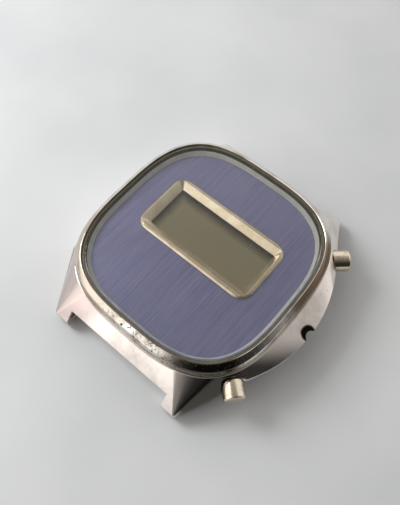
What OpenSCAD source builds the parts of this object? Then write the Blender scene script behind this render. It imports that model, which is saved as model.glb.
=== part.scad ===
// Head of a digital watch with a liquid crystal display, without its strap.
// +X points to 3 o'clock, +Y to 12 o'clock and +Z out of the dial.
// The origin is the middle of the case back's outer face. All sizes are in millimetres.

/* [Dial and window] */
// Width of the dial that shows inside the flange ring
dial_w = 28.5; // [28:0.1:29]
// Height of the dial that shows inside the flange ring
dial_h = 29.1; // [28.6:0.1:29.6]
// Exponent of the rounded square outline that the dial, crystal and bezel share
roundness = 3.1; // [2.9:0.05:3.3]
// Height of the dial's face above the case back's outer face
dial_z = 7.2; // [7.2:0.05:7.6]
// Thickness of the dial plate
dial_t = 0.4; // [0.3:0.05:0.5]
// Width of the window opening
window_w = 17.2; // [16:0.1:17.6]
// Height of the window opening
window_h = 7.3; // [6.6:0.1:7.6]
// Place of the window's middle to the right of the dial's middle
window_x = -0.4; // [-0.8:0.1:0.4]
// Place of the window's middle above the dial's middle
window_y = 2.1; // [1.8:0.1:2.4]
// Width of the window frame's bars
frame_bar = 1.7; // [1.5:0.05:1.8]
// Height of the window frame above the dial's face
frame_h = 0.4; // [0.3:0.05:0.5]
// How far the window frame's bars lie over the dial
frame_lap = 0.6; // [0.5:0.05:0.7]
// Width of the window frame's flat rim and its outer bevel
frame_rim = 0.65; // [0.6:0.05:0.7]
// Outer corner radius of the window frame
frame_corner_r = 2.1; // [1.8:0.1:2.3]

/* [Crystal and bezel] */
// Height of the flange ring between the dial and the crystal
flange_h = 0.75; // [0.65:0.05:0.85]
// How far the flange ring's face leans outwards
flange_lean = 0.35; // [0.25:0.05:0.36]
// Thickness of the crystal
crystal_t = 0.9; // [0.8:0.05:1]
// Chamfer round the crystal's upper edge
crystal_chamfer = 0.15; // [0.1:0.05:0.2]
// Thickness of the gasket round the crystal's edge
gasket_t = 0.33; // [0.28:0.01:0.36]
// Thickness of the gasket's foot under the crystal
gasket_foot_t = 0.3; // [0.25:0.05:0.35]
// Wall of the bezel at its foot
bezel_wall = 1.0; // [0.9:0.05:1.1]
// Height of the bezel's crest above the crystal
bezel_crest_h = 0.1; // [0.05:0.05:0.2]
// Width of the case's step outside the bezel
step_w = 0.17; // [0.15:0.01:0.2]
// Depth of the case's step below the dial's face
step_down = 0.6; // [0.5:0.05:0.7]

/* [Mid case] */
// Reach of the right side ridge, over the pushers' bores, from the middle line
right_w = 19.4; // [19.2:0.1:19.6]
// Reach of the left side from the middle line
left_w = 16.8; // [16.7:0.05:16.9]
// Length of the case over the lugs
case_l = 40.4; // [40.2:0.1:40.8]
// Radius of the right side ridge seen from above
side_r = 20.7; // [20.4:0.1:21.2]
// Radius of the left side seen from above
left_r = 57; // [52:1:62]
// Distance of the ridge ends from the middle line
ridge_y = 11.8; // [11.5:0.1:12.1]
// Height of the side ridges above the case back's outer face
ridge_z = 5.3; // [5.2:0.05:5.35]
// Thickness of the polished land along the ridges
ridge_t = 0.25; // [0.15:0.05:0.3]
// How far the right side draws in from its ridge to the underside
undercut = 2.2; // [2:0.1:2.4]
// How far the left side draws in from its ridge to the underside
left_undercut = 0.2; // [0.1:0.05:0.3]
// Wall of the neck that carries the crystal and the bezel
neck_t = 0.6; // [0.55:0.05:0.65]
// Distance between the outer corners of two lugs
lug_span = 23.8; // [23.4:0.1:24.2]
// Height of the lug tips above the case back's outer face
lug_tip_z = 2.0; // [1.8:0.1:2.1]
// Distance of the end slopes' upper edges from the middle line
slope_y = 16.1; // [15.9:0.1:16.3]
// Rounding radius of the lug tips
lug_tip_r = 0.6; // [0.4:0.1:0.7]

/* [Strap gap] */
// Width of the gap that the strap end goes into
strap_w = 18.4; // [18.1:0.1:18.6]
// Radius of the strap end round its spring bar
strap_end_r = 1.45; // [1.35:0.05:1.5]
// Distance of the spring bar from the case's middle
bar_y = 18.8; // [18.7:0.05:18.9]
// Height of the spring bar above the case back's outer face
bar_z = 2.2; // [2.1:0.05:2.2]
// Radius of the spring bar holes
bar_hole_r = 0.45; // [0.4:0.05:0.5]
// Depth of the spring bar holes
bar_hole_depth = 1.2; // [1:0.1:1.4]

/* [Side recess] */
// Radius of the blind recess at 3 o'clock
recess_r = 1.55; // [1.4:0.05:1.6]
// Depth of the recess from the ridge
recess_depth = 1.9; // [1.6:0.1:2.2]
// Distance of the recess's axis below the ridge
recess_down = 1.3; // [1.25:0.05:1.4]

/* [Case back] */
// Thickness of the case back
back_t = 0.6; // [0.5:0.05:0.6]
// How far the case back's flange reaches past the cavity
back_lap = 1.15; // [1.05:0.05:1.2]
// Height of the case back's snap rim
rim_h = 1.3; // [1.2:0.05:1.4]
// Wall of the case back's snap rim
rim_t = 0.5; // [0.45:0.05:0.55]
// Bevel round the case back's outer edge
back_bevel = 0.25; // [0.15:0.05:0.3]
// Distance of the snap bead below the rim's edge
bead_down = 0.55; // [0.5:0.05:0.6]
// How far the snap bead stands out of the rim
bead_h = 0.1; // [0.08:0.01:0.12]
// Width of the snap bead
bead_w = 0.2; // [0.15:0.01:0.25]
// Width of the case back gasket
back_gasket_w = 0.5; // [0.4:0.05:0.55]
// Thickness of the case back gasket
back_gasket_t = 0.35; // [0.3:0.05:0.4]

/* [Pushers] */
// Radius of a pusher's head
head_r = 1.6; // [1.5:0.05:1.6]
// How far a head stands out at rest
head_out = 1.75; // [1.5:0.05:1.9]
// How far a head goes in behind the ridge
head_in = 1.35; // [1.3:0.01:1.38]
// Radius of a pusher's stem
stem_r = 0.55; // [0.5:0.05:0.6]
// How far a stem reaches past its clip
stem_reach = 0.75; // [0.7:0.01:0.8]
// Depth of a clip's groove in the stem
clip_groove = 0.15; // [0.1:0.01:0.2]
// Chamfer round a head's end
head_chamfer = 0.15; // [0.1:0.05:0.25]
// How far a pusher travels
pusher_travel = 0.7; // [0.6:0.05:0.75]
// Direction of the pushers from 3 o'clock
pusher_angle = 42; // [41:0.5:43]
// Distance of a pusher's root to the right of the middle
pusher_x = 15.65; // [15.55:0.05:15.75]
// Distance of a pusher's root from the middle line
pusher_y = 12.4; // [12.3:0.05:12.5]
// Height of the pushers above the case back's outer face
pusher_z = 4.5; // [4.45:0.05:4.55]
// Wall of a pusher's tube
tube_wall = 0.2; // [0.15:0.01:0.22]
// Depth of a tube's mouth behind the ridge
tube_in = 1.35; // [1.3:0.05:1.35]
// Depth of a tube's floor behind the ridge
tube_depth = 2.75; // [2.75:0.01:2.8]
// Thickness of a tube's floor
tube_floor_t = 0.6; // [0.55:0.05:0.65]
// Wire radius of a return spring
spring_wire_r = 0.1; // [0.08:0.01:0.11]
// Turns of a return spring
spring_turns = 2; // [1.5:0.5:2]
// Thickness of an O-ring
o_ring_t = 0.27; // [0.24:0.01:0.28]
// Radius of a retaining clip
clip_r = 1.2; // [1:0.05:1.3]
// Thickness of a retaining clip
clip_t = 0.2; // [0.15:0.05:0.25]

/* [Display] */
// Width of the display's two glass plates
glass_w = 21.6; // [21:0.1:21.8]
// Height of the front glass plate
front_glass_h = 14.4; // [14.2:0.1:14.6]
// Height of the rear glass plate
rear_glass_h = 11; // [10.8:0.1:11.1]
// Thickness of a glass plate
glass_t = 0.7; // [0.65:0.05:0.7]
// Thickness of the polariser and of the reflector
film_t = 0.2; // [0.15:0.05:0.2]
// How far the films reach past the window opening
film_lap = 1.1; // [0.9:0.1:1.2]
// Width of a zebra connector
zebra_w = 1.2; // [1.1:0.05:1.2]
// Length of a zebra connector
zebra_l = 19; // [18:0.5:19.5]

/* [Module] */
// Wall of the movement ring
ring_t = 0.6; // [0.5:0.05:0.65]
// Thickness of the circuit board
board_t = 0.6; // [0.5:0.05:0.65]
// Height of the module's underside above the case back's outer face
module_z = 1.0; // [1:0.02:1.04]
// Radius of the battery
battery_r = 5.8; // [5.7:0.05:5.8]
// Thickness of the negative contact
contact_t = 0.15; // [0.1:0.05:0.2]
// Place of the battery to the left of and below the middle
battery_at = 5; // [4.9:0.1:5.1]
// Thickness of the battery bridge
bridge_t = 0.15; // [0.1:0.01:0.16]
// Width of the battery bridge
bridge_w = 3.2; // [2.8:0.1:3.6]
// Radius of a module screw's shank
screw_r = 0.4; // [0.35:0.05:0.45]
// Radius of a screw's head
screw_head_r = 0.9; // [0.8:0.05:0.95]
// Height of a module screw's head
screw_head_h = 0.5; // [0.4:0.05:0.5]
// Radius of the quartz crystal's can
quartz_r = 1.3; // [1:0.05:1.35]
// Length of the quartz crystal's can
quartz_l = 7; // [6:0.1:7.2]
// Radius of the trimmer
trimmer_r = 1.9; // [1.7:0.1:2]
// Radius of the resin drop over the chip
chip_r = 3.3; // [3:0.1:3.4]
// Height of the resin drop over the chip
chip_h = 1.2; // [1:0.1:1.3]
// Radius of the lamp's bulb
lamp_r = 0.5; // [0.45:0.05:0.55]
// Length of the lamp's bulb
lamp_l = 3.4; // [3:0.1:3.6]
// Height of the trimmer's body
trimmer_h = 1.3; // [1.2:0.05:1.4]
// Radius of the trimmer's rotor pin
rotor_pin_r = 0.4; // [0.35:0.05:0.45]
// Radius of the trimmer's rotor
rotor_r = 1.4; // [1.3:0.05:1.5]
// Thickness of the trimmer's rotor
rotor_t = 0.45; // [0.4:0.05:0.45]
// Width of the slot in the trimmer's rotor
rotor_slot_w = 0.4; // [0.3:0.05:0.5]
// Width of a capacitor
cap_w = 1; // [0.8:0.1:1.1]
// Length of a capacitor
cap_l = 1.8; // [1.6:0.1:1.9]
// Height of a capacitor
cap_h = 0.8; // [0.6:0.1:0.9]
// Distance of the module screws' ends below the dial plate
screw_end_down = 0.8; // [0.7:0.05:0.9]
// Width of a screw's slot
slot_w = 0.25; // [0.2:0.05:0.3]
// Height of the battery's raised negative face
battery_step = 0.4; // [0.3:0.05:0.5]
// Radius of the negative contact
contact_r = 3.2; // [2.8:0.1:3.6]
// Radius of the hole in the negative contact
contact_hole_r = 1.2; // [1:0.1:1.4]
// How far the battery bridge reaches past the battery's middle
bridge_reach = 2.5; // [2:0.1:3]
// Distance of the bridge screw from the battery
bridge_screw_gap = 2.2; // [2.1:0.05:2.3]
// Width of a switch pad
pad_w = 1.6; // [1.4:0.1:1.8]
// Thickness of a switch pad
pad_t = 0.1; // [0.08:0.01:0.12]
// How far a switch leaf reaches above its pusher's axis
leaf_up = 1; // [0.8:0.1:1.2]
// Thickness of a switch leaf
leaf_t = 0.15; // [0.12:0.01:0.18]

/* [Fits] */
// Gap between pieces that are laid or snapped together
fit_gap = 0.03; // [0.02:0.01:0.04]
// Gap over a piece that must not carry the piece above it
laid_gap = 0.05; // [0.03:0.01:0.06]
// Radial running gap of a pusher in its tube
run_gap = 0.05; // [0.04:0.01:0.06]
// Gap between an O-ring and its tube
seal_gap = 0.02; // [0.01:0.01:0.03]
// Gap between pieces that are dropped into a pocket
pocket_gap = 0.1; // [0.08:0.01:0.12]

/* [Hidden] */
// Number of sides of the rounded square outlines
sides = 72;
// Small overlap that lets one shape cut or join another cleanly
eps = 0.01;
// Thickness of the slices that a hull is stretched over
slice = 0.02;
$fn = 64;

// Reach of the spring bar holes from the middle, and the height of their drilled points
bar_reach = strap_w / 2 + bar_hole_depth;
drill_tip_h = 0.6 * bar_hole_r;

// Offsets of the shared outline from the dial that shows
dial_lap = 0.2;
cavity_d = 0.45;
gasket_in_d = cavity_d + 0.2;
neck_d = cavity_d + neck_t;
bezel_in_d = neck_d + fit_gap;
bezel_foot_d = bezel_in_d + bezel_wall;
step_d = bezel_foot_d + step_w;
crystal_d = neck_d - gasket_t;
ring_in_d = cavity_d - fit_gap - ring_t;
module_d = ring_in_d - fit_gap;

// How far the bezel's flank draws in, and its depth below the crest there
bezel_bands = [[0, 1.3], [0.15, 0.73], [0.38, 0.28], [0.7, 0]];

// Heights from the case back's outer face
dial_under = dial_z - dial_t;
crystal_z = dial_z + flange_h + laid_gap;
crystal_top = crystal_z + crystal_t;
neck_top = crystal_z - gasket_foot_t;
step_z = dial_z - step_down;
crest_z = crystal_top + bezel_crest_h;
rim_top = back_t + rim_h;
bead_z = rim_top - bead_down;
front_glass_z = dial_under - film_t - glass_t;
rear_glass_z = front_glass_z - glass_t;
reflector_z = rear_glass_z - film_t;
board_top = reflector_z - 2 * pocket_gap;
board_z = board_top - board_t;
battery_h = board_z - contact_t - module_z;
screw_top = dial_under - screw_end_down;

// Places along a pusher's axis, measured outwards from its root
tube_mouth = -tube_in;
tube_bottom = -tube_depth;
tube_end = tube_bottom - tube_floor_t;
clip_s = tube_end - run_gap - clip_t;
stem_end = clip_s - stem_reach;
leaf_s = stem_end - pocket_gap - leaf_t;
pad_s = stem_end - pusher_travel - leaf_t - pad_t;
tube_in_r = head_r + run_gap;
tube_out_r = tube_in_r + tube_wall;
groove_up = 0.2;
o_ring_s = -head_in + groove_up;
o_ring_r = tube_in_r - seal_gap - o_ring_t / 2;
groove_r = o_ring_r - o_ring_t / 2 - eps;
leaf_over = 0.7;
clear_over = 0.6;
clear_w = 2 * (clip_r + leaf_over);
clear_h = 2 * (clip_r + clear_over);

// Places of the module's pieces
screw_spots = [[7.5, 12], [-9.5, 10.8], [-9.5, -10.8], [7.5, -12]];
bridge_screw_x = battery_r - battery_at + bridge_screw_gap;
bridge_grip = 2.2;
quartz_at = [-0.5, 9.2];
trimmer_at = [5.6, -6.6];
rotor_z = board_z - trimmer_h - laid_gap - rotor_t;
chip_at = [6, 2.2];
cap_spots = [[-7, 5.2], [-4.6, 5.2], [-2.2, 5.2], [0.2, 5.2]];
lamp_pin_w = 0.3;
lamp_x = window_x + glass_w / 2 + 3.5 * pocket_gap + lamp_r;
lamp_z = board_top + lamp_r + pocket_gap;
quartz_cap = 0.3;
quartz_room = 0.6;

// Point of the shared outline at angle t, moved outwards by d
function outline_point(t, a, b) =
    pow(pow(abs(cos(t)) / a, roundness) + pow(abs(sin(t)) / b, roundness), -1 / roundness)
    * [cos(t), sin(t)];
function outline(d) =
    [for (i = [0:sides - 1]) outline_point(360 * i / sides, dial_w / 2 + d, dial_h / 2 + d)];

// Reach of a side arc of radius r at y, where its middle reaches out to w
function side_x(w, r, y) = w - r + sqrt(r * r - y * y);
function side_points(right, left) = concat(
    [for (i = [-8:8]) [side_x(right, side_r, ridge_y * i / 8), ridge_y * i / 8]],
    [for (i = [8:-1:-8]) [-side_x(left, left_r, ridge_y * i / 8), ridge_y * i / 8]]);

// Flat plate of the shared outline between two heights
module plate(d, z0, z1) {
    translate([0, 0, z0]) linear_extrude(z1 - z0) polygon(outline(d));
}

// Ring of the shared outline between two offsets and two heights
module ring(d_out, d_in, z0, z1) {
    difference() {
        plate(d_out, z0, z1);
        plate(d_in, z0 - eps, z1 + eps);
    }
}

// Box centred in x and y, from z0 to z1
module block(w, h, z0, z1) {
    translate([-w / 2, -h / 2, z0]) cube([w, h, z1 - z0]);
}

// Round-cornered slice of a window piece, reach past the opening and height
module window_slice(reach, r, z, t = slice) {
    w = window_w / 2 + reach - r;
    h = window_h / 2 + reach - r;
    for (x = [-w, w], y = [-h, h])
        translate([x, y, z]) cylinder(r = r, h = t, $fn = 32);
}

// Moves its children to the window's middle
module at_window() {
    translate([window_x, window_y, 0]) children();
}

// Turns its children's z axis along the upper (side 1) or lower (side -1) pusher
module at_pusher(side) {
    translate([pusher_x, side * pusher_y, pusher_z])
        rotate([0, 0, side * pusher_angle]) rotate([0, 90, 0]) children();
}

// Room round both pushers' inner ends, from s inwards of the tubes to their mouths
module pusher_rooms(s) {
    for (side = [-1, 1])
        at_pusher(side)
            translate([-clear_h / 2, -clear_w / 2, s])
                cube([clear_h, clear_w, 3 - s]);
}

// Holes of one radius through the module screws' places
module screw_holes(r, z0, z1) {
    for (spot = screw_spots)
        translate([spot[0], spot[1], z0]) cylinder(r = r, h = z1 - z0);
}

// Outer form of the mid case, before anything is cut
module case_form() {
    plate(step_d, back_t, step_z);
    hull() {
        intersection() {
            plate(step_d, step_z - slice, step_z);
            block(4 * right_w, 2 * slope_y, 0, 2 * dial_z);
        }
        translate([0, 0, ridge_z - ridge_t])
            linear_extrude(ridge_t) polygon(side_points(right_w, left_w));
        translate([0, 0, back_t])
            linear_extrude(slice)
                polygon(side_points(right_w - undercut, left_w - left_undercut));
        for (x = [-1, 1], y = [-1, 1])
            translate([x * (lug_span / 2 - lug_tip_r), y * (case_l / 2 - lug_tip_r), back_t])
                cylinder(r = lug_tip_r, h = lug_tip_z - back_t, $fn = 32);
    }
}

// Gap for the strap end between the lugs at 12 (side 1) or 6 o'clock (side -1)
module strap_gap(side) {
    translate([-strap_w / 2, side * bar_y, bar_z])
        rotate([0, 90, 0]) cylinder(r = strap_end_r, h = strap_w);
    y0 = bar_y - strap_end_r;
    translate([-strap_w / 2, side > 0 ? y0 : -y0 - 5, -1])
        cube([strap_w, 5, bar_z + 1]);
}

module mid_case() {
    color("silver") difference() {
        union() {
            case_form();
            plate(neck_d, step_z - 1, neck_top);
        }
        plate(cavity_d, -1, neck_top + 1);
        plate(cavity_d + bead_h + fit_gap, bead_z - laid_gap, bead_z + bead_w + laid_gap);
        ring(gasket_in_d + back_gasket_w + fit_gap, gasket_in_d - fit_gap,
             -1, back_t + back_gasket_t + fit_gap);
        for (side = [-1, 1]) {
            strap_gap(side);
            translate([0, side * bar_y, bar_z]) for (turn = [-90, 90]) rotate([0, turn, 0]) {
                cylinder(r = bar_hole_r, h = bar_reach);
                translate([0, 0, bar_reach]) cylinder(r1 = bar_hole_r, r2 = 0, h = drill_tip_h);
            }
            at_pusher(side) {
                translate([0, 0, tube_end - 3]) cylinder(r = tube_out_r, h = tube_mouth - tube_end + 3);
                translate([0, 0, tube_mouth - eps]) cylinder(r = tube_in_r, h = 4);
            }
        }
        translate([right_w - recess_depth, 0, ridge_z - recess_down]) rotate([0, 90, 0])
            cylinder(r = recess_r, h = 2 * recess_depth);
    }
}

module bezel() {
    color("gainsboro") difference() {
        hull() {
            plate(bezel_foot_d, step_z, step_z + slice);
            for (band = bezel_bands)
                plate(bezel_foot_d - band[0], crest_z - band[1] - slice, crest_z - band[1]);
        }
        plate(bezel_in_d, step_z - 1, crest_z + 1);
    }
}

module crystal() {
    color("lightcyan", 0.3) hull() {
        plate(crystal_d - fit_gap, crystal_z, crystal_top - crystal_chamfer);
        plate(crystal_d - fit_gap - crystal_chamfer, crystal_z, crystal_top);
    }
}

module crystal_gasket() {
    color("dimgray") difference() {
        plate(neck_d, neck_top, crystal_top - crystal_chamfer - laid_gap);
        plate(crystal_d, crystal_z, crystal_top);
        plate(cavity_d, neck_top - 1, crystal_top);
    }
}

module flange_ring() {
    color("silver") difference() {
        plate(cavity_d - fit_gap, dial_z, dial_z + flange_h);
        hull() {
            plate(0, dial_z - slice, dial_z);
            plate(flange_lean, dial_z + flange_h, dial_z + flange_h + slice);
        }
    }
}

module dial() {
    color("slateblue") difference() {
        plate(dial_lap, dial_under, dial_z);
        at_window() translate([0, 0, dial_under - 1]) linear_extrude(3)
            offset(delta = frame_bar - frame_lap) square([window_w, window_h], center = true);
    }
}

module window_frame() {
    foot = frame_bar - frame_lap - fit_gap;
    bevel = frame_rim / 2;
    color("wheat") at_window() difference() {
        union() {
            hull() {
                window_slice(frame_bar, frame_corner_r, dial_z, frame_h / 2);
                window_slice(frame_bar - bevel, frame_corner_r - bevel, dial_z + frame_h - slice);
            }
            block(window_w + 2 * foot, window_h + 2 * foot, dial_under, dial_z + eps);
        }
        hull() {
            window_slice(frame_bar - frame_rim, frame_rim, dial_z + frame_h, 1);
            block(window_w, window_h, dial_under + laid_gap, dial_under + 2 * laid_gap);
        }
        block(window_w, window_h, dial_under - 1, dial_z);
    }
}

module front_polariser() {
    color("darkkhaki") at_window()
        block(window_w + 2 * film_lap, window_h + 2 * film_lap, dial_under - film_t, dial_under);
}

module front_glass() {
    color("honeydew", 0.4) at_window()
        block(glass_w, front_glass_h, front_glass_z, front_glass_z + glass_t);
}

module rear_glass() {
    color("honeydew", 0.4) at_window()
        block(glass_w, rear_glass_h, rear_glass_z, front_glass_z);
}

module rear_reflector() {
    color("gray") at_window()
        block(window_w + 2 * film_lap, window_h + 2 * film_lap, reflector_z, rear_glass_z);
}

// Middle of a zebra connector's strip from the window's middle
function zebra_y() = (front_glass_h + rear_glass_h) / 4;

module zebra_connectors() {
    color("lightgray") at_window() for (side = [-1, 1])
        translate([0, side * zebra_y(), 0]) block(zebra_l, zebra_w, board_top, front_glass_z);
}

module module_frame() {
    color("ivory") difference() {
        plate(module_d, board_top, dial_under);
        pusher_rooms(pad_s - pocket_gap);
        at_window() {
            block(glass_w + 2 * pocket_gap, front_glass_h + 2 * pocket_gap, front_glass_z, dial_z);
            block(glass_w + 2 * pocket_gap, rear_glass_h + 2 * pocket_gap, board_top - 1, dial_z);
            for (side = [-1, 1])
                translate([0, side * zebra_y(), 0])
                    block(zebra_l + 2 * pocket_gap, zebra_w + pocket_gap, board_top - 1, dial_z);
        }
        translate([lamp_x, window_y, 0])
            block(2 * (lamp_r + pocket_gap), lamp_l + 2 * pocket_gap, board_top - 1, dial_z);
        screw_holes(screw_r + eps, board_top - 1, screw_top + pocket_gap);
    }
}

module circuit_board() {
    color("darkgreen") difference() {
        plate(module_d, board_z, board_top);
        pusher_rooms(pad_s);
        screw_holes(screw_r + pocket_gap, board_z - 1, board_top + 1);
    }
}

module chip() {
    cap_r = (chip_r * chip_r + chip_h * chip_h) / (2 * chip_h);
    color("black") translate([chip_at[0], chip_at[1], 0]) intersection() {
        translate([0, 0, board_z - chip_h + cap_r]) sphere(r = cap_r);
        block(3 * chip_r, 3 * chip_r, board_z - chip_h - 1, board_z);
    }
}

module quartz_can() {
    color("lightsteelblue")
        translate([quartz_at[0] - quartz_l / 2, quartz_at[1], board_z - quartz_r])
            rotate([0, 90, 0]) {
                cylinder(r = quartz_r, h = quartz_l);
                translate([0, 0, -quartz_cap])
                    cylinder(r = quartz_r - quartz_cap, h = quartz_cap + eps);
            }
}

module trimmer_body() {
    color("tan") translate([trimmer_at[0], trimmer_at[1], 0]) difference() {
        translate([0, 0, board_z - trimmer_h]) cylinder(r = trimmer_r, h = trimmer_h);
        translate([0, 0, rotor_z]) cylinder(r = rotor_pin_r + run_gap, h = trimmer_h);
    }
}

module trimmer_rotor() {
    color("gold") translate([trimmer_at[0], trimmer_at[1], 0]) difference() {
        union() {
            translate([0, 0, rotor_z]) cylinder(r = rotor_r, h = rotor_t);
            translate([0, 0, rotor_z]) cylinder(r = rotor_pin_r, h = trimmer_h - pocket_gap);
        }
        block(2 * trimmer_r, rotor_slot_w, rotor_z - 1, rotor_z + rotor_slot_w / 2);
    }
}

module capacitors() {
    color("peru") for (spot = cap_spots)
        translate([spot[0], spot[1], 0])
            block(cap_w, cap_l, board_z - cap_h, board_z);
}

module lamp() {
    color("lightyellow") translate([lamp_x, window_y - lamp_l / 2, lamp_z]) rotate([-90, 0, 0])
        cylinder(r = lamp_r, h = lamp_l);
    color("gray") for (y = [-0.35, 0.35] * lamp_l)
        translate([lamp_x, window_y + y, 0])
            block(lamp_pin_w, lamp_pin_w, board_top, lamp_z - lamp_pin_w);
}

module battery() {
    color("silver") translate([-battery_at, -battery_at, module_z]) {
        cylinder(r = battery_r, h = battery_h - battery_step);
        cylinder(r = battery_r - 2 * battery_step, h = battery_h);
    }
}

module negative_contact() {
    color("goldenrod") translate([-battery_at, -battery_at, board_z - contact_t]) difference() {
        cylinder(r = contact_r, h = contact_t);
        translate([0, 0, -1]) cylinder(r = contact_hole_r, h = 3);
    }
}

module battery_bridge() {
    color("gold") difference() {
        translate([0, 0, module_z - bridge_t]) linear_extrude(bridge_t) hull()
            for (x = [-battery_at - bridge_reach, bridge_screw_x])
                translate([x, -battery_at]) circle(r = bridge_w / 2);
        translate([bridge_screw_x, -battery_at, -1]) cylinder(r = screw_r + pocket_gap, h = 5);
    }
}

module bridge_screw() {
    head_t = module_z - bridge_t - back_t - laid_gap;
    color("silver") translate([bridge_screw_x, -battery_at, back_t + laid_gap]) difference() {
        union() {
            cylinder(r = screw_head_r, h = head_t);
            cylinder(r = screw_r, h = head_t + bridge_t + bridge_grip);
        }
        block(3 * screw_head_r, slot_w, -1, head_t / 2);
    }
}

module rear_holder() {
    color("dimgray") difference() {
        plate(module_d, module_z, board_z);
        pusher_rooms(pad_s - pocket_gap);
        translate([-battery_at, -battery_at, -1]) cylinder(r = battery_r + pocket_gap, h = 9);
        translate([quartz_at[0], quartz_at[1], 0])
            block(quartz_l + 2 * quartz_room, 2 * (quartz_r + pocket_gap),
                  board_z - 2 * quartz_r - pocket_gap, 9);
        translate([trimmer_at[0], trimmer_at[1], -1]) cylinder(r = trimmer_r + pocket_gap, h = 9);
        translate([chip_at[0], chip_at[1], board_z - chip_h - pocket_gap])
            cylinder(r = chip_r + pocket_gap, h = 9);
        for (spot = cap_spots)
            translate([spot[0], spot[1], 0])
                block(cap_w + 2 * pocket_gap, cap_l + 2 * pocket_gap,
                      board_z - cap_h - pocket_gap, 9);
        screw_holes(screw_r + pocket_gap, -1, 9);
        screw_holes(screw_head_r + pocket_gap, -1, module_z + screw_head_h + fit_gap);
        translate([bridge_screw_x, -battery_at, -1])
            cylinder(r = screw_r + eps, h = 1 + module_z + bridge_grip + pocket_gap);
    }
}

module module_screws() {
    color("silver") for (spot = screw_spots)
        translate([spot[0], spot[1], module_z]) difference() {
            union() {
                cylinder(r = screw_head_r, h = screw_head_h);
                cylinder(r = screw_r, h = screw_top - module_z);
            }
            block(3 * screw_head_r, slot_w, -1, screw_head_h / 2);
        }
}

module movement_ring() {
    color("white") difference() {
        ring(cavity_d - fit_gap, ring_in_d, rim_top, dial_under);
        pusher_rooms(pad_s - pocket_gap);
    }
}

// Contact pads on the board's edge, each between the board and a switch leaf's path
module switch_pads() {
    color("goldenrod") for (side = [-1, 1]) at_pusher(side)
        translate([pusher_z - board_top, -pad_w / 2, pad_s]) cube([board_t, pad_w, pad_t]);
}

// Leaf that a pusher's stem bends against its pad
module switch_leaf(side) {
    color("gold") at_pusher(side)
        translate([-leaf_up, -clear_w / 2, leaf_s]) cube([clear_h / 2 + leaf_up, clear_w, leaf_t]);
}

// Head and stem of one pusher
module pusher(side) {
    color("lightgray") at_pusher(side) difference() {
        union() {
            translate([0, 0, -head_in])
                cylinder(r = head_r, h = head_in + head_out - head_chamfer);
            translate([0, 0, head_out - head_chamfer - eps])
                cylinder(r1 = head_r, r2 = head_r - head_chamfer, h = head_chamfer + eps);
            translate([0, 0, stem_end]) cylinder(r = stem_r, h = -stem_end - head_in + eps);
        }
        difference() {
            translate([0, 0, o_ring_s - laid_gap])
                cylinder(r = head_r + 1, h = o_ring_t + 2 * laid_gap);
            translate([0, 0, -head_in]) cylinder(r = groove_r, h = 1);
        }
        difference() {
            translate([0, 0, clip_s - eps]) cylinder(r = stem_r + 1, h = clip_t + 2 * eps);
            translate([0, 0, clip_s - 1]) cylinder(r = stem_r - clip_groove, h = 3);
        }
    }
}

// Tube that is pressed into the case from inside and guides one pusher
module tube(side) {
    color("darkgray") at_pusher(side) difference() {
        translate([0, 0, tube_end]) cylinder(r = tube_out_r, h = tube_mouth - tube_end);
        translate([0, 0, tube_bottom]) cylinder(r = tube_in_r, h = 9);
        translate([0, 0, tube_end - 1]) cylinder(r = stem_r + run_gap, h = 9);
    }
}

// Return spring between a head and its tube's floor, as one unbroken wire
function spring_ring(t, r, z0, pitch) =
    let (c = [r * cos(360 * t), r * sin(360 * t), z0 + pitch * t])
    [for (k = [0:5]) c + spring_wire_r
        * [cos(60 * k) * cos(360 * t), cos(60 * k) * sin(360 * t), sin(60 * k)]];

module spring(side) {
    r = (stem_r + run_gap + tube_in_r) / 2;
    z0 = tube_bottom + spring_wire_r + fit_gap;
    pitch = (-head_in + tube_depth - 2 * spring_wire_r - 2 * fit_gap) / spring_turns;
    rings = 12 * spring_turns;
    points = [for (i = [0:rings]) each spring_ring(i / 12, r, z0, pitch)];
    walls = [for (i = [0:rings - 1], k = [0:5])
        let (a = 6 * i + k, b = 6 * i + (k + 1) % 6)
        each [[a, a + 6, b], [b, a + 6, b + 6]]];
    ends = concat(
        [for (k = [1:4]) [0, k, k + 1]],
        [for (k = [1:4]) [6 * rings, 6 * rings + k + 1, 6 * rings + k]]);
    color("lightsteelblue") at_pusher(side) polyhedron(points, concat(walls, ends));
}

module o_ring(side) {
    color("black") at_pusher(side) translate([0, 0, o_ring_s + o_ring_t / 2])
        rotate_extrude() translate([o_ring_r, 0]) circle(d = o_ring_t);
}

// Retaining clip in the stem's groove, open on one side
module clip(side) {
    mouth = 2 * stem_r - 0.4;
    color("gray") at_pusher(side) translate([0, 0, clip_s]) difference() {
        cylinder(r = clip_r, h = clip_t);
        translate([0, 0, -1]) cylinder(r = stem_r - clip_groove + eps, h = 3);
        translate([0, -mouth / 2, -1]) cube([3, mouth, 3]);
    }
}

module case_back() {
    color("silver") {
        hull() {
            plate(cavity_d + back_lap - back_bevel, 0, slice);
            plate(cavity_d + back_lap, back_bevel, back_t);
        }
        difference() {
            union() {
                plate(cavity_d - fit_gap, back_t - eps, rim_top);
                plate(cavity_d + bead_h - fit_gap, bead_z, bead_z + bead_w);
            }
            plate(cavity_d - fit_gap - rim_t, back_t, rim_top + 1);
        }
    }
}

module back_gasket() {
    color("black")
        ring(gasket_in_d + back_gasket_w, gasket_in_d, back_t, back_t + back_gasket_t);
}

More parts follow.
